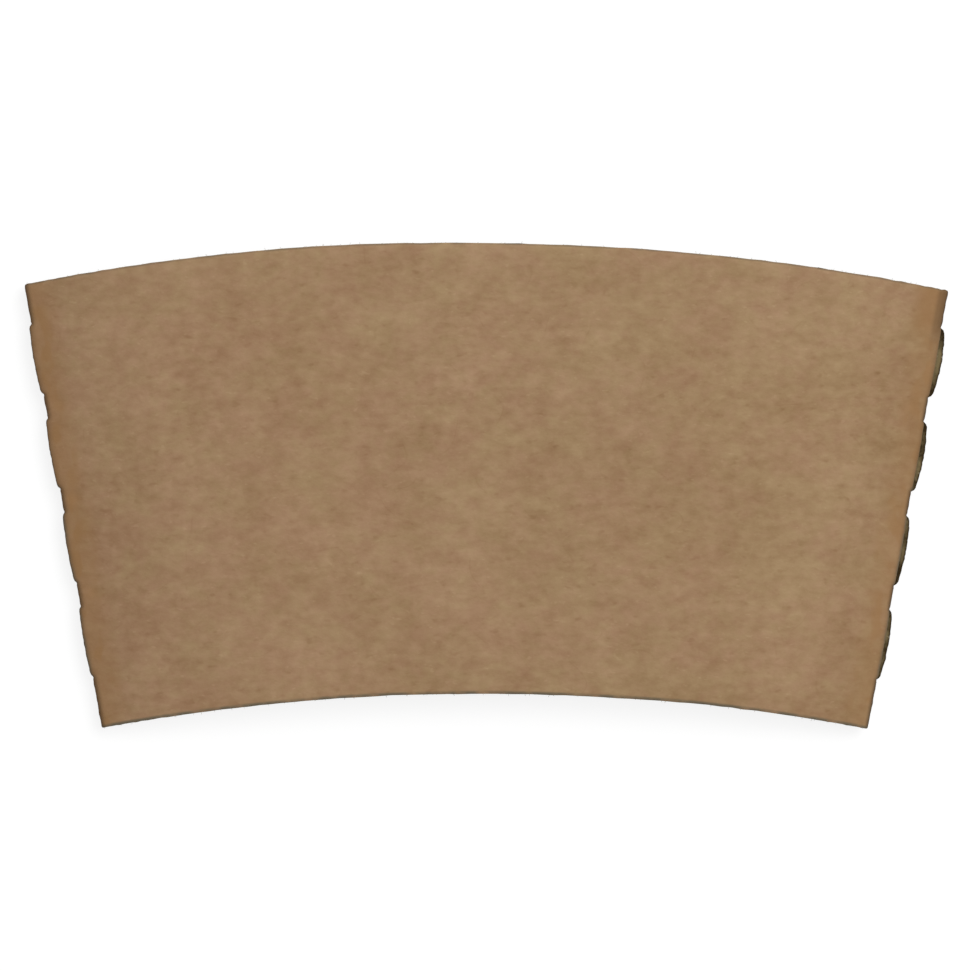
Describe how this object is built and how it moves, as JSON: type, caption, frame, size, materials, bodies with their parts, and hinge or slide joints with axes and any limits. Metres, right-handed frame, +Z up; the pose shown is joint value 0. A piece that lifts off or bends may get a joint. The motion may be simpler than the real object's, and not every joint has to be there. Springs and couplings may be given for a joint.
{
  "type": "coffee cup sleeve",
  "caption": "Flat-pressed ring of kraft board that slips over a takeaway hot cup as a heat guard: two curved, tapering panels, perforated folds and a glued lap.",
  "frame": {"origin": "under the middle of the flat sleeve's bounding box, on the surface that it lies on", "axes": "+X across the sleeve from fold to fold, +Y from the narrow edge to the wide edge, +Z up out of the lying sleeve"},
  "size_m": [0.1228, 0.0648, 0.0076],
  "materials": {
    "kraft_board": "matte"
  },
  "bodies": {
    "root": {"sleeve": "kraft_board"}
  },
  "joints": []
}
